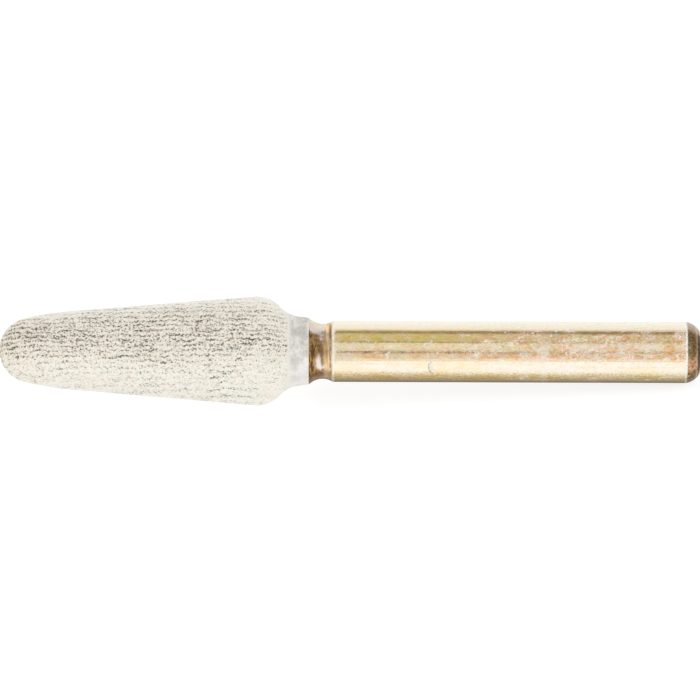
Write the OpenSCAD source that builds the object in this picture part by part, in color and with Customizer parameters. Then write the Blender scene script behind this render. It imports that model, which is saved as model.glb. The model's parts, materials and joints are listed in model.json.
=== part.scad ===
// Mounted point: a tapered abrasive head with a round nose, cemented on a turned steel shank.
// The axis lies along X. The head points to -X and the shank runs to +X.
// The origin is on the axis, where the gripping cylinder of the shank begins.

/* [Head] */
// Length of the abrasive head, from the nose to the cement joint
head_length = 28.2; // [22:0.1:45]
// Diameter at the shoulder, where taper and shoulder would meet if left sharp
head_d = 10.9; // [9:0.1:16]
// Diameter of the taper carried on to the plane of the nose
tip_d = 6.5; // [4:0.1:8.8]
// Radius of the round nose
nose_radius = 3.2; // [1.5:0.1:4]
// Radius of the long blend from the nose into the taper
nose_blend_radius = 30; // [12:1:60]
// Slope of the shoulder against the axis
shoulder_angle = 47; // [30:1:65]
// Radius that rounds the shoulder's outer corner
shoulder_round = 3.1; // [0.5:0.1:3.5]

/* [Cement] */
// Length of the cement collar, from the head to the shank's flange
collar_length = 2.05; // [1:0.05:4]
// Step from the flange's rim out to the collar
collar_step = 0.07; // [0:0.01:0.3]
// Slope of the collar, which widens towards the head
collar_draft = 7; // [0:0.5:12]
// Radius of the hollow curve from the shoulder into the collar
collar_fillet = 3; // [0.5:0.1:3.5]
// Thickness of the cement around the tang
bond_gap = 0.2; // [0.1:0.05:0.4]
// Thickness of the cement in front of the tang
bond_end_gap = 0.5; // [0.2:0.1:2]

/* [Shank] */
// Diameter of the gripping cylinder
shank_d = 6; // [5:0.1:8]
// Length of the gripping cylinder
grip_length = 34.45; // [20:0.05:60]
// Radius of the rounding at the free end
end_round = 1.9; // [0.5:0.1:2.4]
// Angle of the crisp edge where the rounding meets the gripping cylinder
end_edge_angle = 8.6; // [0:0.1:30]
// Diameter of the flat at the free end, where the rounding stops
end_flat_d = 4.2; // [0:0.1:4.6]

/* [Neck] */
// Depth of the neck groove below the gripping cylinder
neck_depth = 0.3; // [0.1:0.05:0.7]
// Radius of the hollow of the neck groove
neck_groove_radius = 1.85; // [1.2:0.05:3]
// Step from the gripping cylinder out to the flange's rim
flange_step = 0.2; // [0.05:0.05:0.4]
// Length of the flange's rim
flange_rim = 0.08; // [0.04:0.01:0.5]

/* [Tang] */
// Diameter of the tang inside the head
tang_d = 3.6; // [3:0.1:4.4]
// Length of the tang in front of the flange
tang_length = 18; // [12:0.5:22]
// Chamfer at the tang's front end
tang_chamfer = 0.4; // [0.1:0.1:0.8]
// Number of ring grooves that key the tang in the cement
key_count = 3; // [1:1:4]
// Plain length at each end of the row of ring grooves
key_margin = 4; // [2:0.5:5]
// Width of a ring groove
key_width = 1.2; // [0.4:0.1:1.6]
// Depth of a ring groove
key_depth = 0.35; // [0.1:0.05:0.6]

/* [Hidden] */

// Segments round the axis, and along each arc of an outline
round_segments = 128;
arc_steps = 10;

shank_r = shank_d / 2;
neck_r = shank_r - neck_depth;
flange_r = shank_r + flange_step;
collar_r = flange_r + collar_step;
tang_r = tang_d / 2;
bore_r = tang_r + bond_gap;
head_r = head_d / 2;
tip_r = tip_d / 2;

// Distance along the axis from the bottom of the neck groove to where its hollow has risen by a height
function groove_reach(height) = sqrt(pow(neck_groove_radius, 2) - pow(neck_groove_radius - height, 2));

// Stations along the axis, from the gripping cylinder forward to the nose
groove_x = -groove_reach(neck_depth);
flange_x = groove_x - groove_reach(neck_depth + flange_step) - flange_rim;
joint_x = flange_x - collar_length;
tang_x = flange_x - tang_length;
bore_x = tang_x - bond_end_gap;
nose_x = joint_x - head_length;

// Points of an arc about c. Points are given as station along the axis and radius from it
function arc(c, r, from, to) = [
    for (k = [0 : arc_steps])
        let (a = from + (to - from) * k / arc_steps)
            c + r * [cos(a), sin(a)]
];

// Distance from a corner to the ends of its arc, for each unit of the arc's radius
function corner_reach(from, to) = tan(abs(from - to) / 2);

// Arc that rounds the corner p, where a line with one slope passes into a line with another
function corner_arc(p, r, from, to) =
    let (side = from > to ? 1 : -1)
    let (start = p - r * corner_reach(from, to) * [cos(from), sin(from)])
    let (c = start + side * r * [sin(from), -cos(from)])
    arc(c, r, side * 90 + from, side * 90 + to);

// Inner corner, where shoulder and collar meet at the joint, and the shoulder's outer corner
inner_corner = [joint_x, collar_r + collar_length * tan(collar_draft)];
outer_corner = [joint_x - (head_r - inner_corner.y) / tan(shoulder_angle), head_r];
taper = atan((head_r - tip_r) / (outer_corner.x - nose_x));

// The two roundings share the shoulder's length, and shrink together where it is too short for them
outer_reach = shoulder_round * corner_reach(taper, -shoulder_angle);
inner_reach = collar_fillet * corner_reach(-shoulder_angle, -collar_draft);
shoulder_share = norm(inner_corner - outer_corner) / (outer_reach + inner_reach);
collar_share = collar_length / cos(collar_draft) / inner_reach;
rounding = min(1, shoulder_share, collar_share);

// The nose is at most the ball that touches both the nose plane and the taper
nose_r = min(nose_radius, tip_r * cos(taper) / (1 - sin(taper)));
nose_centre = [nose_x + nose_r, 0];
nose_to_taper = tip_r * cos(taper) + nose_r * sin(taper);
nose_turn = taper + acos(min(1, (nose_blend_radius - nose_to_taper) / (nose_blend_radius - nose_r)));
blend_centre = nose_centre + (nose_blend_radius - nose_r) * [sin(nose_turn), -cos(nose_turn)];

// Outline of head and collar together, closed along the axis
body_outline = concat(
    arc(nose_centre, nose_r, 180, 90 + nose_turn),
    arc(blend_centre, nose_blend_radius, 90 + nose_turn, 90 + taper),
    corner_arc(outer_corner, shoulder_round * rounding, taper, -shoulder_angle),
    corner_arc(inner_corner, collar_fillet * rounding, -shoulder_angle, -collar_draft),
    [[flange_x, collar_r], [flange_x, 0]]
);

// Arc that rounds the free end down to its flat
end_centre = [grip_length, shank_r] - end_round * [sin(end_edge_angle), cos(end_edge_angle)];
end_stop = asin(max(0, end_flat_d / 2 - end_centre.y) / end_round);
end_arc = arc(end_centre, end_round, 90 - end_edge_angle, end_stop);

// Outline of the shank, closed along the axis, before the grooves are cut
shank_outline = concat(
    [[tang_x, 0], [tang_x, tang_r - tang_chamfer], [tang_x + tang_chamfer, tang_r]],
    [[flange_x, tang_r], [flange_x, flange_r], [groove_x, flange_r], [groove_x, shank_r]],
    end_arc,
    [[end_arc[arc_steps].x, 0]]
);

// Turns a half section about the axis
module turned() {
    rotate([0, 90, 0])
        rotate_extrude($fn = round_segments)
            mirror([1, -1, 0])
                children();
}

// Half section of a plain cylinder or ring between two stations
module band(from, to, outer_r, inner_r = 0) {
    translate([from, inner_r])
        square([to - from, outer_r - inner_r]);
}

// Half section of head and collar between two stations
module body_section(from, to) {
    intersection() {
        polygon(body_outline);
        band(from, to, head_d);
    }
}

// Half section of the head, with the blind bore that takes the tang
module head_section() {
    difference() {
        body_section(nose_x - head_d, joint_x);
        band(bore_x, flange_x, bore_r);
    }
}

module neck_groove() {
    translate([groove_x, neck_r + neck_groove_radius])
        circle(neck_groove_radius, $fn = round_segments);
}

module key_grooves() {
    pitch = (tang_length - 2 * key_margin) / key_count;
    for (k = [0 : key_count - 1])
        translate([flange_x - key_margin - (k + 0.5) * pitch, tang_r])
            square([key_width, 2 * key_depth], center = true);
}

module shank_section() {
    difference() {
        polygon(shank_outline);
        neck_groove();
        key_grooves();
    }
}

module abrasive_head() {
    color("#dcd6c8")
        turned()
            head_section();
}

// The cement fills all that head and shank leave free, from the end of the bore to the flange
module bonding_cement() {
    color("#d6d3d2")
        turned()
            difference() {
                body_section(bore_x, flange_x);
                band(nose_x, joint_x, head_d, bore_r);
                shank_section();
            }
}

module shank() {
    color("#c2a468")
        turned()
            shank_section();
}

abrasive_head();
bonding_cement();
shank();
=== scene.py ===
"""Looks of the mounted point: abrasive head, cement collar and plated shank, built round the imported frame."""

import json
import math
from types import SimpleNamespace

import bpy
import numpy as np
from mathutils import Matrix, Vector


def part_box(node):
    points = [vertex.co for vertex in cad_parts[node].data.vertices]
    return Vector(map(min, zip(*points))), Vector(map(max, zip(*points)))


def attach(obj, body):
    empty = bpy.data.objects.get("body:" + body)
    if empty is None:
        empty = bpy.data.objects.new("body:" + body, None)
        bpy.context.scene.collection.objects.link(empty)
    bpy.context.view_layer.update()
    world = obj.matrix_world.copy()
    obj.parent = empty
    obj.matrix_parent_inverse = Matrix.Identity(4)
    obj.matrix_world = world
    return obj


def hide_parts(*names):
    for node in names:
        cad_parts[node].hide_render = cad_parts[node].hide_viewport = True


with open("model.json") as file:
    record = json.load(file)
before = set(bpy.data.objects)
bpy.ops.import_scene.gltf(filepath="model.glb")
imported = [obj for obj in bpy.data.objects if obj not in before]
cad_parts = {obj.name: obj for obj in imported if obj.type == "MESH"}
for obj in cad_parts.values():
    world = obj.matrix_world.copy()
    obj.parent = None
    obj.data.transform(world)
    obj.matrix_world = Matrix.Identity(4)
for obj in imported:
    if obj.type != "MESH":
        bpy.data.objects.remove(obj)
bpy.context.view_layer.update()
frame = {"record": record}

MM = 0.001

# Sizes read from the frame, in millimetres along the axis and from it
head_low, head_high = (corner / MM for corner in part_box("abrasive_head"))
cement_low, cement_high = (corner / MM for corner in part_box("bonding_cement"))
shank_low, shank_high = (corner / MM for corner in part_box("shank"))
shank_mount = next(mount for mount in frame["record"]["mounts"] if mount["name"] == "shank")
NOSE_X = head_low.x
JOINT_X = head_high.x
BORE_X = cement_low.x
FLANGE_X = cement_high.x
TANG_X = shank_low.x
END_X = shank_high.x
FLANGE_R = shank_high.z
SHANK_R = shank_mount["dims"]["r_mm"]
GRIP_LENGTH = shank_mount["dims"]["length_mm"]

# Sizes of the head and the collar, in millimetres and degrees
HEAD_R = 5.45
TIP_R = 3.25
NOSE_RADIUS = 3.2
NOSE_BLEND_RADIUS = 30.0
SHOULDER_ANGLE = 47.0
SHOULDER_ROUND = 3.1
COLLAR_R = FLANGE_R + 0.07
COLLAR_DRAFT = 7.0
COLLAR_FILLET = 3.0
BORE_R = 2.0

# Sizes of the shank, in millimetres and degrees
END_ROUND = 1.9
END_EDGE_ANGLE = 8.6
NECK_DEPTH = 0.3
NECK_GROOVE_RADIUS = 1.85
FLANGE_RIM = 0.08
TANG_R = 1.8
TANG_CHAMFER = 0.4
KEY_COUNT = 3
KEY_MARGIN = 4.0
KEY_WIDTH = 1.2
KEY_DEPTH = 0.35

# Spacing of stations along an outline and of segments round it
HEAD_STEP = 0.12
HEAD_SEGMENTS = 312
COLLAR_STEP = 0.08
COLLAR_SEGMENTS = 256
SHANK_STEP = 0.25
SHANK_SEGMENTS = 256
ARC_STEPS = 24
# Turn between two faces above which the edge between them is shaded crisp
CRISP_ANGLE = math.radians(24.0)
# Distance in metres at which the seam and the poles of a turned body are merged
MERGE_DISTANCE = 2e-7
# Depth of the pits in the head
PIT_DEPTH = 0.035

# Photograph's view: 700 pixels a side, with the origin at a pixel and a scale in pixels a millimetre
PHOTO_SIDE = 700
PHOTO_ORIGIN = (333.0, 351.2)
PHOTO_SCALE = 10.235
VIEW_ELEVATION = 26.0
VIEW_ROLL = 0.2
LENS = 300.0
SENSOR = 36.0


# Outlines, as points of station along the axis and radius from it


def arc(centre, radius, start, stop):
    turns = np.radians(np.linspace(start, stop, ARC_STEPS + 1))
    return [(centre[0] + radius * math.cos(a), centre[1] + radius * math.sin(a)) for a in turns]


def corner_reach(start, stop):
    return math.tan(math.radians(abs(start - stop) / 2))


def corner_arc(corner, radius, start, stop):
    side = 1 if start > stop else -1
    a = math.radians(start)
    reach = radius * corner_reach(start, stop)
    x = corner[0] - reach * math.cos(a) + side * radius * math.sin(a)
    r = corner[1] - reach * math.sin(a) - side * radius * math.cos(a)
    return arc((x, r), radius, side * 90 + start, side * 90 + stop)


def body_outline():
    """Outer outline of head and collar, from the nose to the flange."""
    inner = (JOINT_X, COLLAR_R + (FLANGE_X - JOINT_X) * math.tan(math.radians(COLLAR_DRAFT)))
    outer = (JOINT_X - (HEAD_R - inner[1]) / math.tan(math.radians(SHOULDER_ANGLE)), HEAD_R)
    taper = math.degrees(math.atan((HEAD_R - TIP_R) / (outer[0] - NOSE_X)))
    shoulder = math.dist(inner, outer)
    reach = SHOULDER_ROUND * corner_reach(taper, -SHOULDER_ANGLE)
    reach += COLLAR_FILLET * corner_reach(-SHOULDER_ANGLE, -COLLAR_DRAFT)
    rounding = min(1, shoulder / reach)
    t = math.radians(taper)
    to_taper = TIP_R * math.cos(t) + NOSE_RADIUS * math.sin(t)
    blend = NOSE_BLEND_RADIUS - NOSE_RADIUS
    turn = taper + math.degrees(math.acos((NOSE_BLEND_RADIUS - to_taper) / blend))
    centre = (NOSE_X + NOSE_RADIUS, 0)
    a = math.radians(turn)
    blend_centre = (centre[0] + blend * math.sin(a), -blend * math.cos(a))
    return [
        *arc(centre, NOSE_RADIUS, 180, 90 + turn),
        *arc(blend_centre, NOSE_BLEND_RADIUS, 90 + turn, 90 + taper),
        *corner_arc(outer, SHOULDER_ROUND * rounding, taper, -SHOULDER_ANGLE),
        *corner_arc(inner, COLLAR_FILLET * rounding, -SHOULDER_ANGLE, -COLLAR_DRAFT),
        (FLANGE_X, COLLAR_R),
    ]


def split(points, x):
    """Cuts an outline at a station, into what lies before it and after it."""
    stations = [p[0] for p in points]
    cut = (x, float(np.interp(x, stations, [p[1] for p in points])))
    return [p for p in points if p[0] < x] + [cut], [cut] + [p for p in points if p[0] > x]


def dense(points, step):
    """Adds stations so that none is more than a step from the next, and drops repeated ones."""
    out = [points[0]]
    for a, b in zip(points, points[1:]):
        count = math.ceil(math.dist(a, b) / step - 1e-6)
        for k in range(1, count + 1):
            out.append((a[0] + (b[0] - a[0]) * k / count, a[1] + (b[1] - a[1]) * k / count))
    return out


def tang_outline():
    """Outline of the tang with its ring grooves, from its front end to the flange."""
    pitch = (FLANGE_X - TANG_X - 2 * KEY_MARGIN) / KEY_COUNT
    points = [(TANG_X, 0), (TANG_X, TANG_R - TANG_CHAMFER), (TANG_X + TANG_CHAMFER, TANG_R)]
    for k in range(KEY_COUNT):
        x = TANG_X + KEY_MARGIN + (k + 0.5) * pitch
        low, high = x - KEY_WIDTH / 2, x + KEY_WIDTH / 2
        points += [(low, TANG_R), (low, TANG_R - KEY_DEPTH), (high, TANG_R - KEY_DEPTH), (high, TANG_R)]
    return points + [(FLANGE_X, TANG_R)]


def neck_outline():
    """Outline from the flange's face through the neck groove to the gripping cylinder."""
    rise = NECK_DEPTH + FLANGE_R - SHANK_R
    front = 180 + math.degrees(math.asin((NECK_GROOVE_RADIUS - rise) / NECK_GROOVE_RADIUS))
    back = 360 - math.degrees(math.asin((NECK_GROOVE_RADIUS - NECK_DEPTH) / NECK_GROOVE_RADIUS))
    x = -NECK_GROOVE_RADIUS * math.cos(math.radians(back))
    hollow = arc((x, SHANK_R - NECK_DEPTH + NECK_GROOVE_RADIUS), NECK_GROOVE_RADIUS, front, back)
    return [(FLANGE_X, FLANGE_R), (hollow[0][0] - FLANGE_RIM / 2, FLANGE_R), *hollow]


def end_outline():
    """Outline of the rounded free end, down to its flat."""
    a = math.radians(END_EDGE_ANGLE)
    x, r = GRIP_LENGTH - END_ROUND * math.sin(a), SHANK_R - END_ROUND * math.cos(a)
    stop = math.degrees(math.acos((END_X - x) / END_ROUND))
    return arc((x, r), END_ROUND, 90 - END_EDGE_ANGLE, stop) + [(END_X, 0)]


# Node trees


def add(tree, kind, inputs=None, **settings):
    """Adds a node, sets its settings, and links or sets its inputs."""
    made = tree.nodes.new(kind)
    for name, value in settings.items():
        setattr(made, name, value)
    for key, value in (inputs or {}).items():
        if isinstance(value, bpy.types.NodeSocket):
            tree.links.new(value, made.inputs[key])
        else:
            made.inputs[key].default_value = value
    return made


def calc(tree, operation, *values):
    inputs = dict(enumerate(values))
    return add(tree, "ShaderNodeMath", inputs, operation=operation).outputs[0]


def vector(tree, operation, *values, out=0):
    inputs = dict(enumerate(values))
    return add(tree, "ShaderNodeVectorMath", inputs, operation=operation).outputs[out]


def ramp(tree, value, low, high, to_low=0.0, to_high=1.0, smooth=True):
    kind = "SMOOTHSTEP" if smooth else "LINEAR"
    inputs = {"Value": value, "From Min": low, "From Max": high, "To Min": to_low, "To Max": to_high}
    return add(tree, "ShaderNodeMapRange", inputs, interpolation_type=kind).outputs[0]


def noise(tree, place, scale, detail=2.0, roughness=0.5, out=0):
    inputs = {"Vector": place, "Scale": scale, "Detail": detail, "Roughness": roughness}
    return add(tree, "ShaderNodeTexNoise", inputs).outputs[out]


def stretched(tree, place, factors):
    return vector(tree, "MULTIPLY", place, factors)


def shifted(tree, place, by):
    return vector(tree, "ADD", place, by)


def mix(tree, share, first, second):
    inputs = {0: share, 6: first, 7: second}
    return add(tree, "ShaderNodeMix", inputs, data_type="RGBA").outputs[2]


def turned_tree():
    """Turns an outline, given as a row of points in the XY plane, into a closed body round the X axis."""
    tree = bpy.data.node_groups.new("Turned body", "GeometryNodeTree")
    sides = tree.interface
    sides.new_socket("Outline", in_out="INPUT", socket_type="NodeSocketGeometry")
    sides.new_socket("Stations", in_out="INPUT", socket_type="NodeSocketInt")
    sides.new_socket("Segments", in_out="INPUT", socket_type="NodeSocketInt")
    sides.new_socket("Pit depth", in_out="INPUT", socket_type="NodeSocketFloat")
    sides.new_socket("Material", in_out="INPUT", socket_type="NodeSocketMaterial")
    sides.new_socket("Body", in_out="OUTPUT", socket_type="NodeSocketGeometry")
    given = tree.nodes.new("NodeGroupInput").outputs
    around = calc(tree, "ADD", given["Segments"], 1)
    size = {"Size X": 1.0, "Size Y": 1.0, "Vertices X": given["Stations"], "Vertices Y": around}
    grid = add(tree, "GeometryNodeMeshGrid", size)
    index = add(tree, "GeometryNodeInputIndex").outputs[0]
    station = calc(tree, "FLOOR", calc(tree, "DIVIDE", calc(tree, "ADD", index, 0.5), around))
    segment = calc(tree, "SUBTRACT", index, calc(tree, "MULTIPLY", station, around))
    angle = calc(tree, "MULTIPLY", calc(tree, "DIVIDE", segment, given["Segments"]), 2 * math.pi)
    place = add(tree, "GeometryNodeInputPosition").outputs[0]
    sample = {"Geometry": given["Outline"], "Value": place, "Index": station}
    picked = add(tree, "GeometryNodeSampleIndex", data_type="FLOAT_VECTOR")
    for key, value in sample.items():
        tree.links.new(value, picked.inputs[key])
    point = add(tree, "ShaderNodeSeparateXYZ", {0: picked.outputs[0]}).outputs
    y = calc(tree, "MULTIPLY", point[1], calc(tree, "SINE", angle))
    z = calc(tree, "MULTIPLY", point[1], calc(tree, "COSINE", angle))
    turned = add(tree, "ShaderNodeCombineXYZ", {0: point[0], 1: y, 2: z}).outputs[0]
    moved = add(tree, "GeometryNodeSetPosition", {"Geometry": grid.outputs[0], "Position": turned})
    merge = {"Geometry": moved.outputs[0], "Distance": MERGE_DISTANCE}
    closed = add(tree, "GeometryNodeMergeByDistance", merge)
    pits = grain_pits(tree, place)
    sunk = calc(tree, "MULTIPLY", pits, calc(tree, "MULTIPLY", given["Pit depth"], -1))
    normal = add(tree, "GeometryNodeInputNormal").outputs[0]
    offset = vector(tree, "SCALE", normal)
    tree.links.new(sunk, offset.node.inputs["Scale"])
    carved = add(tree, "GeometryNodeSetPosition", {"Geometry": closed.outputs[0], "Offset": offset})
    smooth = add(tree, "GeometryNodeSetShadeSmooth", {"Geometry": carved.outputs[0]})
    turn = add(tree, "GeometryNodeInputMeshEdgeAngle").outputs["Unsigned Angle"]
    edges = {"Geometry": smooth.outputs[0], "Selection": calc(tree, "GREATER_THAN", turn, CRISP_ANGLE)}
    crisp = add(tree, "GeometryNodeSetShadeSmooth", edges, domain="EDGE")
    crisp.inputs["Shade Smooth"].default_value = False
    real = add(tree, "GeometryNodeRealizeInstances", {"Geometry": crisp.outputs[0]})
    dressed = add(tree, "GeometryNodeSetMaterial", {"Geometry": real.outputs[0]})
    tree.links.new(given["Material"], dressed.inputs["Material"])
    add(tree, "NodeGroupOutput", {"Body": dressed.outputs[0]})
    return tree


def front_side(degrees):
    """Direction across the axis, by its height over the horizon in front."""
    a = math.radians(degrees)
    return (0.0, -math.cos(a), math.sin(a))


# Directions across the head: its plies lie square to PLY_NORMAL, and OPEN_SIDE has most pits
PLY_TILT = 36.0
PLY_FACE = front_side(PLY_TILT)
PLY_NORMAL = front_side(PLY_TILT + 90.0)
OPEN_SIDE = front_side(49.0)
# Distance from one ply to the next, and radius below which directions fade, in millimetres
PLY_PITCH = 0.5
CORE_R = 2.4


def to_mm(tree, place):
    return vector(tree, "MULTIPLY", place, (1000.0, 1000.0, 1000.0))


def along(tree, mm):
    return vector(tree, "DOT_PRODUCT", mm, (1.0, 0.0, 0.0), out=1)


def outward(tree, mm):
    """Direction from the axis out to a place, fading to nothing in the core."""
    flat = vector(tree, "MULTIPLY", mm, (0.0, 1.0, 1.0))
    reach = calc(tree, "MAXIMUM", vector(tree, "LENGTH", flat, out=1), CORE_R)
    scaled = vector(tree, "SCALE", flat)
    tree.links.new(calc(tree, "DIVIDE", 1.0, reach), scaled.node.inputs["Scale"])
    return scaled


def facing(tree, mm, side):
    return vector(tree, "DOT_PRODUCT", outward(tree, mm), side, out=1)


def front(tree, mm, degrees):
    return facing(tree, mm, front_side(degrees))


def grain_pits(tree, place):
    """Mask of the open pits between the grains, in rows along the axis, the same for relief and colour."""
    mm = to_mm(tree, place)
    x = along(tree, mm)
    across = vector(tree, "DOT_PRODUCT", mm, PLY_NORMAL, out=1)
    deep = vector(tree, "DOT_PRODUCT", mm, PLY_FACE, out=1)
    drift = noise(tree, stretched(tree, mm, (0.6, 0.5, 0.5)), 1.0, 1.0)
    across = calc(tree, "MULTIPLY_ADD", drift, 0.6, across)
    wiggle = noise(tree, stretched(tree, mm, (2.2, 1.6, 1.6)), 1.0, 0.0)
    across = calc(tree, "MULTIPLY_ADD", wiggle, 0.22, across)
    plies = add(tree, "ShaderNodeCombineXYZ", {0: x, 1: across, 2: deep}).outputs[0]
    rows = noise(tree, stretched(tree, plies, (0.7, 4.0, 1.0)), 1.0, 1.0, 0.5)
    specks = noise(tree, stretched(tree, mm, (5.6, 6.8, 6.8)), 1.0, 0.5, 0.5)
    clusters = noise(tree, stretched(tree, plies, (1.5, 2.6, 2.0)), 1.0, 1.0, 0.5)
    patches = noise(tree, stretched(tree, mm, (0.25, 0.45, 0.45)), 1.0, 1.0)
    weave = calc(tree, "SINE", calc(tree, "MULTIPLY", across, 2 * math.pi / PLY_PITCH))
    total = calc(tree, "MULTIPLY_ADD", clusters, 0.1, calc(tree, "MULTIPLY", rows, 0.23))
    total = calc(tree, "MULTIPLY_ADD", specks, 0.6, total)
    total = calc(tree, "MULTIPLY_ADD", weave, 0.055, total)
    total = calc(tree, "MULTIPLY_ADD", patches, 0.14, total)
    away = calc(tree, "ARCCOSINE", facing(tree, mm, OPEN_SIDE))
    closed = ramp(tree, away, 0.0, 1.15, 0.0, 0.11)
    total = calc(tree, "SUBTRACT", total, closed)
    nose = ramp(tree, x, NOSE_X + 4.0, NOSE_X, 0.0, 0.05)
    tip = ramp(tree, x, NOSE_X + 0.8, NOSE_X, 0.0, 0.06)
    total = calc(tree, "ADD", total, calc(tree, "ADD", nose, tip))
    joint = ramp(tree, x, JOINT_X - 0.3, JOINT_X + 0.3, 0.0, 0.12)
    shoulder = ramp(tree, x, JOINT_X - 5.0, JOINT_X - 3.0, 0.0, 0.045)
    total = calc(tree, "SUBTRACT", total, calc(tree, "ADD", joint, shoulder))
    return ramp(tree, total, 0.452, 0.72)


# Materials


def new_material(name):
    made = bpy.data.materials.new(name)
    made.use_nodes = True
    tree = made.node_tree
    tree.nodes.clear()
    shader = add(tree, "ShaderNodeBsdfPrincipled")
    add(tree, "ShaderNodeOutputMaterial", {"Surface": shader.outputs[0]})
    place = add(tree, "ShaderNodeTexCoord").outputs["Object"]
    return made, tree, shader.inputs, place


def srgb(r, g, b):
    """Colour as it shows on screen, from 0 to 255, in Blender's linear values."""
    def linear(v):
        v /= 255
        return v / 12.92 if v <= 0.04045 else ((v + 0.055) / 1.055) ** 2.4
    return (linear(r), linear(g), linear(b), 1.0)


def mask_group(name, build):
    """Shader node group that takes a place and puts out one mask, for more than one material."""
    tree = bpy.data.node_groups.new(name, "ShaderNodeTree")
    tree.interface.new_socket("Place", in_out="INPUT", socket_type="NodeSocketVector")
    tree.interface.new_socket("Mask", in_out="OUTPUT", socket_type="NodeSocketFloat")
    given = tree.nodes.new("NodeGroupInput").outputs
    add(tree, "NodeGroupOutput", {"Mask": build(tree, given["Place"])})
    return tree


def mask(tree, group, place):
    return add(tree, "ShaderNodeGroup", {"Place": place}, node_tree=group).outputs["Mask"]


def cloud_mask(tree, place):
    """Soft clouds about a millimetre across."""
    return ramp(tree, noise(tree, to_mm(tree, place), 0.9, 3.0, 0.6), 0.35, 0.65)


PITS = mask_group("Grain pits", grain_pits)
CLOUDS = mask_group("Soft clouds", cloud_mask)


def abrasive_material():
    made, tree, shader, place = new_material("bonded_abrasive")
    mm = to_mm(tree, place)
    x = along(tree, mm)
    pits = mask(tree, PITS, place)
    clouds = mask(tree, CLOUDS, place)
    ground = mix(tree, clouds, srgb(238, 236, 226), srgb(240, 234, 222))
    fine = noise(tree, stretched(tree, mm, (3.4, 5.4, 5.4)), 1.0, 0.6, 0.5)
    ground = mix(tree, ramp(tree, fine, 0.45, 0.72, 0.0, 0.55), ground, srgb(202, 195, 178))
    # Painted shade: the ground is darker on the upper front side, towards OPEN_SIDE
    painted_upper_shade = ramp(tree, facing(tree, mm, OPEN_SIDE), 0.6, 0.98, 0.0, 0.42)
    ground = mix(tree, painted_upper_shade, ground, srgb(222, 214, 198))
    nose = ramp(tree, x, NOSE_X + 6.0, NOSE_X, 0.0, 0.35)
    ground = mix(tree, nose, ground, srgb(233, 222, 200))
    ground = mix(tree, ramp(tree, x, NOSE_X + 0.7, NOSE_X, 0.0, 0.5), ground, srgb(204, 192, 168))
    edge = calc(tree, "MULTIPLY_ADD", clouds, 0.5, x)
    ground = mix(tree, ramp(tree, edge, JOINT_X - 0.4, JOINT_X + 0.5, 0.0, 0.7), ground, srgb(226, 222, 213))
    hue = noise(tree, stretched(tree, mm, (0.6, 1.4, 1.4)), 1.0, 1.0)
    # The pits are dark partly from dirt and partly from painted shade in the recesses
    pit_dirt_and_shade = mix(tree, ramp(tree, hue, 0.42, 0.58), srgb(76, 74, 60), srgb(96, 78, 64))
    colour = mix(tree, pits, ground, pit_dirt_and_shade)
    tree.links.new(colour, shader["Base Color"])
    height = calc(tree, "MULTIPLY_ADD", pits, -0.6, calc(tree, "MULTIPLY", fine, -0.4))
    bump = add(tree, "ShaderNodeBump", {"Strength": 0.8, "Distance": 0.00007, "Height": height})
    tree.links.new(bump.outputs[0], shader["Normal"])
    shader["Roughness"].default_value = 0.85
    shader["Specular IOR Level"].default_value = 0.25
    shader["Sheen Weight"].default_value = 0.3
    shader["Sheen Roughness"].default_value = 0.5
    return made


def cement_material():
    made, tree, shader, place = new_material("hardened_cement")
    mm = to_mm(tree, place)
    x = along(tree, mm)
    clouds = mask(tree, CLOUDS, place)
    colour = mix(tree, clouds, srgb(192, 188, 181), srgb(227, 223, 217))
    fine = noise(tree, mm, 5.0, 2.0, 0.6)
    colour = mix(tree, ramp(tree, fine, 0.48, 0.7, 0.0, 0.6), colour, srgb(168, 162, 157))
    # Painted light: the collar is lighter towards the bottom, where the floor's light would brighten it
    lower = calc(tree, "MULTIPLY_ADD", clouds, 0.2, front(tree, mm, -30.0))
    colour = mix(tree, ramp(tree, lower, 0.6, 1.1, 0.0, 0.6), colour, srgb(240, 238, 236))
    smear = calc(tree, "MULTIPLY_ADD", clouds, -0.5, ramp(tree, x, JOINT_X, JOINT_X + 0.6, 1.0, 0.0))
    colour = mix(tree, ramp(tree, smear, 0.0, 1.0), colour, srgb(229, 225, 215))
    rim = ramp(tree, x, FLANGE_X - 0.2, FLANGE_X - 0.04, 0.0, 0.4)
    colour = mix(tree, rim, colour, srgb(235, 224, 200))
    tree.links.new(colour, shader["Base Color"])
    bump = add(tree, "ShaderNodeBump", {"Strength": 0.35, "Distance": 0.00005, "Height": fine})
    tree.links.new(bump.outputs[0], shader["Normal"])
    shader["Roughness"].default_value = 0.55
    return made


def scuff_lines(tree, place, gate_scale, width):
    """Fine curly lines, and the noise that breaks them into short strokes."""
    field = noise(tree, place, 1.0, 0.6, 0.5)
    line = calc(tree, "ABSOLUTE", calc(tree, "SUBTRACT", field, 0.5))
    line = ramp(tree, line, 0.0, width, 1.0, 0.0)
    gate = noise(tree, shifted(tree, place, (7.3, 1.9, 4.1)), gate_scale, 2.0, 0.6)
    return line, gate


def spot(tree, at, x, side, half, reach):
    """Distance from a place on the grip, 1 at half a width along the axis and at a reach round it."""
    off = calc(tree, "MULTIPLY", calc(tree, "SUBTRACT", at.x, x), 1 / half)
    turn = calc(tree, "MULTIPLY", calc(tree, "ARCCOSINE", front(tree, at.mm, side)), SHANK_R / reach)
    squares = calc(tree, "ADD", calc(tree, "MULTIPLY", off, off), calc(tree, "MULTIPLY", turn, turn))
    return calc(tree, "POWER", squares, 0.5)


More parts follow.
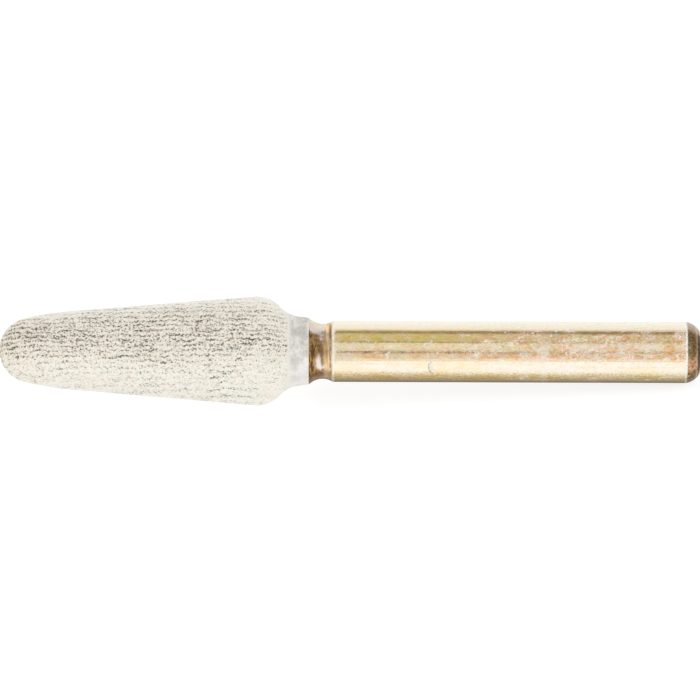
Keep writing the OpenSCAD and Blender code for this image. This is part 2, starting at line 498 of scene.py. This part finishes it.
def shank_fields(tree, place):
    """Places, zones and noises that the films of the shank share."""
    at = SimpleNamespace()
    at.mm = mm = to_mm(tree, place)
    at.x = along(tree, mm)
    at.clouds = mask(tree, CLOUDS, place)
    at.grip = calc(tree, "MULTIPLY", ramp(tree, at.x, -0.05, 0.12),
                   ramp(tree, at.x, GRIP_LENGTH + 0.05, GRIP_LENGTH - 0.1))
    at.worn = ramp(tree, at.x, 8.0, 22.0)
    at.grain = noise(tree, stretched(tree, mm, (3.0, 4.4, 4.4)), 1.0, 2.0, 0.6)
    at.drawn = noise(tree, stretched(tree, mm, (0.05, 5.0, 5.0)), 1.0, 2.0, 0.6)
    flow = stretched(tree, shifted(tree, mm, (1.3, 6.1, 2.9)), (0.3, 1.5, 1.5))
    at.streaks = noise(tree, flow, 1.0, 3.0, 0.6)
    at.spots = noise(tree, stretched(tree, mm, (1.1, 1.1, 1.1)), 1.0, 3.0, 0.65)
    at.turns = noise(tree, stretched(tree, mm, (7.0, 0.35, 0.35)), 1.0, 2.0, 0.6)
    at.patches = noise(tree, shifted(tree, mm, (0.0, 3.3, 5.1)), 0.7, 5.0, 0.68)
    small = shifted(tree, stretched(tree, mm, (4.4, 6.4, 6.4)), (2.7, 5.3, 1.1))
    at.crumbs = noise(tree, small, 1.0, 2.0, 0.6)
    at.lit = ramp(tree, front(tree, mm, -60.0), 0.7, 0.92, 1.0, 0.0)
    tint = noise(tree, stretched(tree, mm, (0.38, 1.0, 1.0)), 1.0, 3.0, 0.65)
    tint = calc(tree, "MULTIPLY_ADD", at.worn, -0.1, tint)
    tint = calc(tree, "MULTIPLY_ADD", at.grain, 0.2, tint)
    # Painted reflection: near 51 degrees the tint is pushed towards olive gold, the film as mirrored under
    # dimmer light
    olive_shaded_band = ramp(tree, front(tree, mm, 51.0), 0.98, 0.995, 0.0, 0.08)
    at.tint = calc(tree, "ADD", tint, calc(tree, "MULTIPLY", olive_shaded_band, ramp(tree, at.worn, 0.0, 1.0, 1.0, 0.0)))
    return at


def grip_ground(tree, at):
    """Film on the grip: golden in front with olive and peach patches, softer behind, pale elsewhere; the gold
    sector and pale film are partly painted light, with a painted highlight along the top.
    """
    gold = mix(tree, at.clouds, srgb(250, 225, 152), srgb(246, 215, 136))
    gold = mix(tree, ramp(tree, at.tint, 0.6, 0.7, 0.0, 0.8), gold, srgb(236, 212, 112))
    gold = mix(tree, ramp(tree, at.tint, 0.57, 0.46, 0.0, 0.85), gold, srgb(250, 192, 122))
    pale = mix(tree, at.clouds, srgb(252, 242, 222), srgb(251, 236, 208))
    pale = mix(tree, calc(tree, "MULTIPLY", at.worn, 0.5), pale, srgb(253, 247, 238))
    # Partly painted light: the pale film stands in for washed-out highlights and the gold front sector for
    # dimmer-lit bands
    gold_sector = calc(tree, "MULTIPLY_ADD", at.grain, 0.05, front(tree, at.mm, 44.0))
    film = mix(tree, ramp(tree, gold_sector, 0.83, 0.92), pale, gold)
    behind = calc(tree, "MULTIPLY_ADD", at.tint, 0.8, front(tree, at.mm, 172.0))
    film = mix(tree, ramp(tree, behind, 1.15, 1.6, 0.0, 0.75), film, gold)
    film = mix(tree, calc(tree, "MULTIPLY", at.worn, 0.15), film, srgb(248, 236, 218))
    film = mix(tree, ramp(tree, at.drawn, 0.5, 0.75, 0.0, 0.3), film, srgb(208, 182, 130))
    # Painted highlight: the top of the grip is paled towards white, where the bright backdrop is mirrored
    top = front(tree, at.mm, 106.0)
    film = mix(tree, ramp(tree, top, 0.75, 0.86, 0.0, 0.85), film, srgb(248, 240, 220))
    return mix(tree, ramp(tree, top, 0.92, 0.985, 0.0, 0.8), film, srgb(252, 250, 246))


def grip_bands(tree, at, film):
    """Adds painted reflection bands along the grip: a dark line, a thin pale band, a peach band with a painted
    shade fringe below it, and pale streaks.
    """
    # Painted reflection: a dark line near 65 degrees, where a dark edge of the studio would be mirrored
    line = calc(tree, "MULTIPLY_ADD", at.grain, 0.004, front(tree, at.mm, 64.6))
    line = calc(tree, "MULTIPLY", ramp(tree, line, 1.0, 1.0016), ramp(tree, at.worn, 0.0, 1.0, 0.16, 0.58))
    line = calc(tree, "MULTIPLY", line, ramp(tree, at.tint, 0.48, 0.62, 0.5, 1.25))
    film = mix(tree, line, film, srgb(160, 130, 85))
    # Painted highlight: a thin pale band near 33 degrees
    thin = front(tree, at.mm, 33.0)
    film = mix(tree, ramp(tree, thin, 0.978, 0.992, 0.0, 0.45), film, srgb(252, 243, 226))
    # Painted reflection: peach film near 16 degrees, the film as mirrored under dimmer light
    peach = calc(tree, "MULTIPLY_ADD", at.tint, -0.02, front(tree, at.mm, 16.5))
    rosy = mix(tree, ramp(tree, at.tint, 0.5, 0.7), srgb(251, 212, 170), srgb(246, 230, 198))
    film = mix(tree, ramp(tree, peach, 0.974, 0.98, 0.0, 0.8), film, rosy)
    # Painted shade: a darker fringe near 11 degrees, below the peach band
    painted_fringe_shade = calc(tree, "MULTIPLY_ADD", at.grain, 0.004, front(tree, at.mm, 10.6))
    film = mix(tree, ramp(tree, painted_fringe_shade, 0.9998, 1.001, 0.0, 0.55), film, srgb(222, 200, 166))
    lower = ramp(tree, front(tree, at.mm, -16.0), 0.9, 0.94)
    yellow = calc(tree, "MULTIPLY", ramp(tree, at.streaks, 0.5, 0.68, 0.0, 0.42), lower)
    film = mix(tree, yellow, film, srgb(252, 234, 166))
    white = calc(tree, "MULTIPLY", ramp(tree, at.streaks, 0.48, 0.34, 0.0, 0.6), lower)
    return mix(tree, white, film, srgb(254, 246, 240))


def grip_flecks(tree, at, film):
    """Adds salmon patches, dark and pale grains and coloured flecks, most of them on the upper front."""
    broad = stretched(tree, shifted(tree, at.mm, (4.4, 1.7, 0.6)), (0.5, 1.1, 1.1))
    salmon = noise(tree, broad, 1.0, 3.0, 0.6)
    salmon = calc(tree, "MULTIPLY_ADD", ramp(tree, front(tree, at.mm, 24.0), 0.955, 0.985), 0.12, salmon)
    salmon = ramp(tree, salmon, 0.58, 0.7, 0.0, 0.8)
    salmon = calc(tree, "MULTIPLY", salmon, ramp(tree, at.worn, 0.0, 1.0, 0.4, 1.0))
    salmon = calc(tree, "MULTIPLY", salmon, ramp(tree, front(tree, at.mm, 36.0), 0.85, 0.93))
    film = mix(tree, salmon, film, srgb(250, 184, 120))
    coarse = ramp(tree, front(tree, at.mm, 36.0), 0.82, 0.92, 0.25, 1.0)
    coarse = calc(tree, "MULTIPLY", coarse, ramp(tree, at.worn, 0.0, 1.0, 0.6, 1.0))
    dark = calc(tree, "MULTIPLY", ramp(tree, at.grain, 0.5, 0.32), calc(tree, "MULTIPLY", coarse, 0.5))
    film = mix(tree, dark, film, srgb(180, 150, 100))
    light = calc(tree, "MULTIPLY", ramp(tree, at.grain, 0.52, 0.68), calc(tree, "MULTIPLY", coarse, 0.6))
    film = mix(tree, light, film, srgb(254, 242, 218))
    fleck = noise(tree, stretched(tree, at.mm, (1.0, 2.0, 2.0)), 1.0, 2.0, 0.6, out=1)
    fleck = add(tree, "ShaderNodeSeparateColor", {"Color": fleck}).outputs
    tones = ((0.75, srgb(255, 196, 158)), (0.7, srgb(228, 226, 152)), (0.45, srgb(238, 234, 236)))
    for part, (most, colour) in zip(fleck, tones):
        share = calc(tree, "MULTIPLY", ramp(tree, part, 0.54, 0.68, 0.0, most), coarse)
        film = mix(tree, share, film, colour)
    return film


def grip_underside_shade(tree, at, film):
    """Adds painted shade along the underside, in front and behind: brown darkening where the shadowed floor
    would be mirrored.
    """
    # Painted shade: a noise breaks up the edge of the brown darkening on the underside
    under_shade_noise = noise(tree, stretched(tree, at.mm, (3.6, 8.0, 8.0)), 1.0, 2.0, 0.65)
    under = calc(tree, "MAXIMUM", front(tree, at.mm, -60.0), front(tree, at.mm, -120.0))
    under = calc(tree, "MULTIPLY_ADD", under_shade_noise, 0.3, under)
    under = calc(tree, "MULTIPLY_ADD", at.worn, -0.012, under)
    painted_under_shade = mix(tree, ramp(tree, at.streaks, 0.4, 0.62), srgb(206, 184, 138), srgb(194, 162, 84))
    film = mix(tree, ramp(tree, under, 0.815, 0.98, 0.0, 0.85), film, painted_under_shade)
    return mix(tree, ramp(tree, under, 0.92, 1.14, 0.0, 0.85), film, srgb(128, 108, 72))


def neck_film(tree, at):
    """Film in the neck: mottled bronze on the flange, mauve patches in the hollow, tan behind it, painted shade
    on the underside and a painted highlight low in front.
    """
    flecks = noise(tree, stretched(tree, at.mm, (3.6, 1.3, 1.3)), 1.0, 3.0, 0.6)
    bronze = mix(tree, ramp(tree, flecks, 0.4, 0.6), srgb(182, 146, 94), srgb(96, 68, 34))
    mauve = mix(tree, ramp(tree, at.patches, 0.5, 0.62), srgb(144, 112, 76), srgb(234, 221, 213))
    tan = mix(tree, ramp(tree, at.turns, 0.4, 0.62), srgb(248, 224, 182), srgb(206, 166, 116))
    hollow = calc(tree, "MULTIPLY_ADD", at.spots, 0.6, calc(tree, "MULTIPLY_ADD", at.turns, 0.3, at.x))
    film = mix(tree, ramp(tree, hollow, -1.1, -0.65), bronze, mauve)
    film = mix(tree, ramp(tree, hollow, -0.65, -0.25), film, tan)
    # Painted shade: the neck is darker on its underside
    film = mix(tree, ramp(tree, front(tree, at.mm, -52.0), 0.72, 0.9, 0.0, 0.6), film, srgb(112, 74, 44))
    # Painted highlight: a pale gleam low in front, where the bright floor is mirrored
    gleam = calc(tree, "MULTIPLY_ADD", flecks, 0.16, front(tree, at.mm, 2.0))
    aside = calc(tree, "ABSOLUTE", calc(tree, "ADD", at.x, 1.4))
    gleam = calc(tree, "MULTIPLY_ADD", aside, -0.15, gleam)
    film = mix(tree, ramp(tree, gleam, 1.0, 1.06, 0.0, 0.85), film, srgb(246, 236, 234))
    seam = calc(tree, "MULTIPLY", ramp(tree, at.x, -0.42, -0.28), ramp(tree, at.x, -0.12, -0.2))
    seam = calc(tree, "MULTIPLY", seam, ramp(tree, at.patches, 0.4, 0.55, 0.1, 0.7))
    return mix(tree, seam, film, srgb(128, 88, 50))


def end_film(tree, at):
    """Film on the rounded end: olive by the edge, then brown, a painted copper highlight in front, painted
    shade below, a dark rim, a turned flat.
    """
    past = calc(tree, "MULTIPLY_ADD", at.spots, 0.5, at.x)
    past = ramp(tree, past, GRIP_LENGTH + 0.3, GRIP_LENGTH + 0.9)
    film = mix(tree, past, srgb(150, 132, 100), srgb(134, 100, 60))
    # Painted highlight: copper on the front of the end, where the bright floor is mirrored
    copper_highlight = calc(tree, "MULTIPLY_ADD", at.spots, 0.16, front(tree, at.mm, 0.0))
    film = mix(tree, ramp(tree, copper_highlight, 1.03, 1.09, 0.0, 0.85), film, srgb(214, 164, 126))
    # Painted shade: the end is darker on its underside
    film = mix(tree, ramp(tree, front(tree, at.mm, -52.0), 0.8, 0.94, 0.0, 0.6), film, srgb(74, 54, 30))
    film = mix(tree, ramp(tree, at.grain, 0.5, 0.66, 0.0, 0.65), film, srgb(84, 64, 40))
    film = mix(tree, ramp(tree, at.grain, 0.44, 0.3, 0.0, 0.6), film, srgb(206, 182, 146))
    rim = calc(tree, "MULTIPLY_ADD", at.grain, 0.2, at.x)
    film = mix(tree, ramp(tree, rim, END_X - 0.4, END_X - 0.3, 0.0, 0.3), film, srgb(206, 186, 160))
    film = mix(tree, ramp(tree, rim, END_X - 0.22, END_X - 0.12, 0.0, 0.95), film, srgb(58, 48, 42))
    flat_r = end_outline()[-2][1]
    reach = vector(tree, "LENGTH", vector(tree, "MULTIPLY", at.mm, (0.0, 1.0, 1.0)), out=1)
    face = calc(tree, "MULTIPLY", ramp(tree, at.x, END_X - 0.03, END_X - 0.01),
                ramp(tree, reach, flat_r - 0.04, flat_r - 0.16))
    rings = noise(tree, add(tree, "ShaderNodeCombineXYZ", {0: reach}).outputs[0], 9.0, 2.0, 0.6)
    rings = calc(tree, "MULTIPLY_ADD", at.grain, 0.4, rings)
    cut = mix(tree, ramp(tree, rings, 0.5, 0.9), srgb(170, 141, 98), srgb(140, 113, 75))
    return mix(tree, calc(tree, "MULTIPLY", face, 0.9), film, cut)


def painted_upper_highlight(tree, at):
    """Mask of the painted highlight on the upper side of the neck and the rounded end, where the bright
    backdrop is mirrored.
    """
    upper = calc(tree, "MULTIPLY_ADD", at.spots, 0.3, front(tree, at.mm, 122.0))
    ragged = calc(tree, "MULTIPLY_ADD", at.turns, 0.3, at.x)
    upper = calc(tree, "ADD", upper, ramp(tree, ragged, -0.65, -0.4, -0.05, -0.3))
    upper = calc(tree, "ADD", upper, ramp(tree, at.x, 1.0, 2.0, 0.0, 0.3))
    upper = calc(tree, "ADD", upper, ramp(tree, at.x, -0.85, -1.3, 0.0, 0.2))
    upper = ramp(tree, upper, 0.72, 0.88)
    upper = calc(tree, "MULTIPLY", upper, ramp(tree, at.x, 0.0, GRIP_LENGTH, 0.9, 0.35))
    return calc(tree, "MULTIPLY", upper, ramp(tree, at.patches, 0.35, 0.6, 0.8, 1.0))


def grip_scuffs(tree, at):
    """Masks of the rubbed film, as pale grains in patches, short strokes and a smear, and of the dent."""
    sector = ramp(tree, front(tree, at.mm, 38.0), 0.72, 0.88)
    patch = noise(tree, stretched(tree, at.mm, (0.5, 1.0, 1.0)), 1.0, 3.0, 0.6)
    haze = calc(tree, "MULTIPLY_ADD", at.crumbs, 0.25, patch)
    haze = calc(tree, "MULTIPLY_ADD", at.worn, 0.08, haze)
    haze = calc(tree, "MULTIPLY_ADD", sector, 0.14, haze)
    ends = calc(tree, "MAXIMUM", ramp(tree, at.x, 0.6, 0.1),
                ramp(tree, at.x, GRIP_LENGTH - 0.7, GRIP_LENGTH - 0.1))
    haze = calc(tree, "MULTIPLY_ADD", calc(tree, "MULTIPLY", ends, at.lit), 0.2, haze)
    haze = ramp(tree, haze, 0.74, 1.02)
    rubbed = calc(tree, "MULTIPLY", haze, ramp(tree, at.crumbs, 0.42, 0.62, 0.14, 0.65))
    line, gate = scuff_lines(tree, stretched(tree, at.mm, (0.42, 1.1, 1.1)), 0.9, 0.028)
    gate = calc(tree, "MULTIPLY_ADD", at.worn, 0.1, calc(tree, "MULTIPLY_ADD", sector, 0.1, gate))
    gate = calc(tree, "MAXIMUM", calc(tree, "MULTIPLY", haze, 0.6), ramp(tree, gate, 0.67, 0.75))
    strokes = calc(tree, "MULTIPLY", line, gate)
    curl, broken = scuff_lines(tree, stretched(tree, at.mm, (1.5, 2.3, 2.3)), 1.6, 0.065)
    broken = calc(tree, "MULTIPLY", ramp(tree, haze, 0.1, 0.5), ramp(tree, broken, 0.44, 0.54))
    strokes = calc(tree, "MAXIMUM", strokes, calc(tree, "MULTIPLY", curl, broken))
    ragged = calc(tree, "MULTIPLY_ADD", at.crumbs, 1.6, calc(tree, "MULTIPLY", patch, 1.6))
    nick = calc(tree, "ADD", ragged, spot(tree, at, 9.6, -7.0, 0.36, 0.62))
    smear = calc(tree, "ADD", ragged, spot(tree, at, 20.5, 5.0, 0.7, 3.4))
    smear = calc(tree, "MAXIMUM", ramp(tree, smear, 2.6, 1.7, 0.0, 0.6), ramp(tree, nick, 2.3, 1.9, 0.0, 0.7))
    scuffs = calc(tree, "MAXIMUM", calc(tree, "MAXIMUM", rubbed, strokes), smear)
    scuffs = calc(tree, "MULTIPLY", scuffs, at.grip)
    dent = calc(tree, "MULTIPLY", ramp(tree, nick, 2.15, 2.35), ramp(tree, nick, 2.7, 2.45))
    dent = calc(tree, "MULTIPLY", dent, ramp(tree, at.x, 9.7, 9.45, 0.0, 0.6))
    return scuffs, dent


def bright_edges(tree, at):
    """Mask of the bright worn edges at both ends of the grip."""
    front_edge = calc(tree, "MULTIPLY", ramp(tree, at.x, -0.14, -0.02), ramp(tree, at.x, 0.2, 0.06))
    back_edge = calc(tree, "MULTIPLY", ramp(tree, at.x, GRIP_LENGTH - 0.18, GRIP_LENGTH - 0.06),
                     ramp(tree, at.x, GRIP_LENGTH + 0.12, GRIP_LENGTH + 0.02))
    edge = calc(tree, "MAXIMUM", front_edge, back_edge)
    edge = calc(tree, "MULTIPLY", edge, ramp(tree, at.crumbs, 0.3, 0.6, 0.5, 1.0))
    return calc(tree, "MULTIPLY", edge, ramp(tree, at.lit, 0.0, 1.0, 0.4, 1.0))


def plated_material():
    made, tree, shader, place = new_material("yellow_plated_steel")
    at = shank_fields(tree, place)
    film = grip_bands(tree, at, grip_ground(tree, at))
    film = grip_underside_shade(tree, at, grip_flecks(tree, at, film))
    bare = mix(tree, ramp(tree, at.x, 0.0, 0.02), neck_film(tree, at), end_film(tree, at))
    # Painted highlight: the upper side of the neck and end is paled
    bare = mix(tree, painted_upper_highlight(tree, at), bare, srgb(240, 228, 216))
    colour = mix(tree, at.grip, bare, film)

    scuffs, dent = grip_scuffs(tree, at)
    bright = mix(tree, ramp(tree, at.tint, 0.55, 0.68), srgb(250, 246, 238), srgb(218, 222, 218))
    bright = mix(tree, 0.12, bright, noise(tree, at.mm, 2.6, 1.0, 0.5, out=1))
    colour = mix(tree, calc(tree, "MULTIPLY", scuffs, 0.82), colour, bright)
    colour = mix(tree, dent, colour, srgb(140, 132, 112))
    # Painted shade: the lower edge, in front and behind, is darkened to brown
    painted_low_edge_shade = calc(tree, "MAXIMUM", front(tree, at.mm, -64.0), front(tree, at.mm, -116.0))
    painted_low_edge_shade = ramp(tree, painted_low_edge_shade, 0.89, 0.985)
    colour = mix(tree, calc(tree, "MULTIPLY", painted_low_edge_shade, 0.72), colour, srgb(84, 68, 42))
    edge = bright_edges(tree, at)
    colour = mix(tree, calc(tree, "MULTIPLY", edge, 0.9), colour, srgb(246, 245, 241))
    tree.links.new(colour, shader["Base Color"])

    # Rubbed places, and the lower edge under its painted shade, shine less than the film
    rubbed = calc(tree, "MAXIMUM", scuffs, edge)
    metal = calc(tree, "MULTIPLY_ADD", rubbed, -0.7, 1.0)
    metal = calc(tree, "MULTIPLY", metal, ramp(tree, painted_low_edge_shade, 0.0, 1.0, 1.0, 0.1))
    tree.links.new(metal, shader["Metallic"])
    rough = ramp(tree, at.clouds, 0.0, 1.0, 0.08, 0.13, smooth=False)
    rough = calc(tree, "MULTIPLY_ADD", rubbed, 0.4, rough)
    rough = calc(tree, "MULTIPLY_ADD", at.worn, 0.02, rough)
    rough = calc(tree, "MAXIMUM", rough, ramp(tree, at.grip, 0.0, 1.0, 0.28, 0.0))
    rough = calc(tree, "MAXIMUM", rough, calc(tree, "MULTIPLY", painted_low_edge_shade, 0.7))
    tree.links.new(rough, shader["Roughness"])

    # Long shallow waves in the metal, with fine grain and drawing lines on them
    waves = noise(tree, stretched(tree, at.mm, (0.25, 1.1, 1.1)), 1.0, 2.0, 0.5)
    wavy = add(tree, "ShaderNodeBump", {"Strength": 1.0, "Distance": 0.00002, "Height": waves})
    height = calc(tree, "MULTIPLY_ADD", at.drawn, 0.3, at.grain)
    bump = add(tree, "ShaderNodeBump", {"Strength": 1.0, "Distance": 0.000008, "Height": height})
    tree.links.new(wavy.outputs[0], bump.inputs["Normal"])
    tree.links.new(bump.outputs[0], shader["Normal"])
    shader["Specular Tint"].default_value = srgb(253, 247, 236)
    shader["Coat Weight"].default_value = 0.1
    shader["Coat Roughness"].default_value = 0.12
    return made


# Pieces

TURNED = turned_tree()


def turned_piece(name, node, outline, segments, material, pit_depth=0.0):
    """Makes a closed turned piece from its outline, in place of a node of the frame."""
    mesh = bpy.data.meshes.new(name + "_outline")
    mesh.from_pydata([(x * MM, r * MM, 0) for x, r in outline], [], [])
    holder = bpy.data.objects.new(name, mesh)
    bpy.context.scene.collection.objects.link(holder)
    modifier = holder.modifiers.new("Turned body", "NODES")
    modifier.node_group = TURNED
    values = {
        "Stations": len(outline),
        "Segments": segments,
        "Pit depth": pit_depth * MM,
        "Material": material,
    }
    for socket in TURNED.interface.items_tree:
        if socket.name in values:
            modifier[socket.identifier] = values[socket.name]
    ready = holder.evaluated_get(bpy.context.evaluated_depsgraph_get())
    body = bpy.data.meshes.new_from_object(ready)
    body.name = name
    holder.modifiers.clear()
    holder.data = body
    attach(holder, "root")
    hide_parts(node)


def make_pieces():
    head_line, collar_line = split(body_outline(), JOINT_X)
    bore = [(JOINT_X, BORE_R), (BORE_X, BORE_R), (BORE_X, 0)]
    head = dense(head_line, HEAD_STEP) + bore
    tang = tang_outline()
    cement = [*bore[::-1], *dense(collar_line, COLLAR_STEP), *tang[::-1]]
    neck = neck_outline()
    grip = dense([(0, SHANK_R), (GRIP_LENGTH, SHANK_R)], SHANK_STEP)
    shank = [*tang, *neck, *grip[1:], *end_outline()[1:]]
    turned_piece("abrasive_head_turned", "abrasive_head", head, HEAD_SEGMENTS,
                 abrasive_material(), PIT_DEPTH)
    turned_piece("bonding_cement_collar", "bonding_cement", cement, COLLAR_SEGMENTS,
                 cement_material())
    turned_piece("shank_plated", "shank", shank, SHANK_SEGMENTS, plated_material())


# Studio

# Half side of the floor in metres, its grey, and its own light, which shows it white
FLOOR_HALF = 3.0
FLOOR_GREY = 0.24
FLOOR_LIGHT = 0.83


def make_floor():
    """Pale floor that touches the head's shoulder and the shank's end."""
    outline = body_outline()
    widest = max(outline, key=lambda p: p[1])
    tilt = math.atan((widest[1] - SHANK_R) / (GRIP_LENGTH - widest[0]))
    normal = Vector((-math.sin(tilt), 0, math.cos(tilt)))
    lowest = min(normal.dot(Vector((x, 0, -r))) for x, r in outline + [(GRIP_LENGTH, SHANK_R)])
    across = Vector((math.cos(tilt), 0, math.sin(tilt)))
    corners = [normal * lowest * MM + across * sx * FLOOR_HALF + Vector((0, sy * FLOOR_HALF, 0))
               for sx, sy in ((-1, -1), (1, -1), (1, 1), (-1, 1))]
    mesh = bpy.data.meshes.new("floor")
    mesh.from_pydata(corners, [], [(0, 1, 2, 3)])
    floor = bpy.data.objects.new("floor", mesh)
    bpy.context.scene.collection.objects.link(floor)
    made, _, shader, _ = new_material("pale_floor")
    shader["Base Color"].default_value = (FLOOR_GREY, FLOOR_GREY, FLOOR_GREY, 1.0)
    shader["Roughness"].default_value = 0.9
    shader["Specular IOR Level"].default_value = 0.0
    shader["Emission Color"].default_value = (1.0, 1.0, 1.0, 1.0)
    shader["Emission Strength"].default_value = FLOOR_LIGHT
    mesh.materials.append(made)


# Light of the studio by elevation, in degrees from the horizon in front, over the top, to the horizon behind
STUDIO_LEVELS = {
    0: 0.80, 30: 0.80, 36: 0.86, 58.5: 0.86, 62: 0.67, 93: 0.69, 98: 0.4, 107: 0.4, 113: 0.76, 119: 0.94,
    132: 0.98, 146: 1.0, 206: 1.0,
}
# Dark strips, strongest to the left: elevation and half width in degrees, and share of light taken
STUDIO_STRIPS = ((23.2, 4.4, 0.66), (60.5, 4.0, 0.5))


def make_world():
    """White studio: bright behind the object, softer above and in front of it."""
    world = bpy.data.worlds.new("studio")
    bpy.context.scene.world = world
    world.use_nodes = True
    tree = world.node_tree
    tree.nodes.clear()
    side = add(tree, "ShaderNodeTexCoord").outputs["Generated"]
    axes = add(tree, "ShaderNodeSeparateXYZ", {0: side}).outputs
    angle = calc(tree, "ARCTAN2", axes[2], calc(tree, "MULTIPLY", axes[1], -1.0))
    turn = calc(tree, "FRACT", calc(tree, "ADD", calc(tree, "DIVIDE", angle, 2 * math.pi), 1.0))
    levels = add(tree, "ShaderNodeValToRGB", {0: turn})
    elements = levels.color_ramp.elements
    while len(elements) < len(STUDIO_LEVELS):
        elements.new(0.5)
    for element, (degrees, level) in zip(elements, STUDIO_LEVELS.items()):
        element.position = degrees / 360
        element.color = (level, level, level, 1.0)
    left = ramp(tree, axes[0], 0.012, 0.042, 1.0, 0.14)
    colour = levels.outputs[0]
    for degrees, half, share in STUDIO_STRIPS:
        away = calc(tree, "ABSOLUTE", calc(tree, "SUBTRACT", turn, degrees / 360))
        strip = ramp(tree, away, half * 0.5 / 360, half * 1.2 / 360, share, 0.0)
        colour = mix(tree, calc(tree, "MULTIPLY", strip, left), colour, (0.0, 0.0, 0.0, 1.0))
    light = add(tree, "ShaderNodeBackground", {"Color": colour, "Strength": 1.0})
    add(tree, "ShaderNodeOutputWorld", {"Surface": light.outputs[0]})


# Soft boxes: turn to either side and elevation in degrees, distance and side in metres, and light level
LAMP_TURN = 58.0
LAMP_ELEVATION = 42.0
LAMP_DISTANCE = 0.6
LAMP_SIDE = 0.6
LAMP_LEVEL = 0.85


def make_lamp(name, turn):
    """Square soft box turned to the object, which the metal doesn't mirror."""
    lamp = bpy.data.lights.new(name, "AREA")
    lamp.shape = "SQUARE"
    lamp.size = LAMP_SIDE
    lamp.energy = LAMP_LEVEL * math.pi * LAMP_SIDE * LAMP_SIDE
    holder = bpy.data.objects.new(name, lamp)
    t, e = math.radians(turn), math.radians(LAMP_ELEVATION)
    back = Vector((math.sin(t) * math.cos(e), -math.cos(t) * math.cos(e), math.sin(e)))
    holder.location = back * LAMP_DISTANCE
    holder.rotation_mode = "QUATERNION"
    holder.rotation_quaternion = (-back).to_track_quat("-Z", "Y")
    holder.visible_glossy = False
    bpy.context.scene.collection.objects.link(holder)


def make_camera():
    camera = bpy.data.cameras.new("camera")
    camera.lens = LENS
    camera.sensor_width = SENSOR
    e, roll = math.radians(VIEW_ELEVATION), math.radians(VIEW_ROLL)
    back = Vector((0, -math.cos(e), math.sin(e)))
    level_right, level_up = Vector((1, 0, 0)), Vector((0, math.sin(e), math.cos(e)))
    right = level_right * math.cos(roll) + level_up * math.sin(roll)
    up = level_up * math.cos(roll) - level_right * math.sin(roll)
    middle = PHOTO_SIDE / 2
    aim = right * (middle - PHOTO_ORIGIN[0]) + up * (PHOTO_ORIGIN[1] - middle)
    distance = PHOTO_SIDE / PHOTO_SCALE * LENS / SENSOR
    place = (aim / PHOTO_SCALE + back * distance) * MM
    turn = Matrix((right, up, back)).transposed().to_4x4()
    holder = bpy.data.objects.new("camera", camera)
    holder.matrix_world = Matrix.Translation(place) @ turn
    bpy.context.scene.collection.objects.link(holder)
    bpy.context.scene.camera = holder


make_camera()
make_pieces()
make_floor()
make_world()
make_lamp("left_soft_box", -LAMP_TURN)
make_lamp("right_soft_box", LAMP_TURN)
bpy.context.scene.view_settings.view_transform = "Standard"
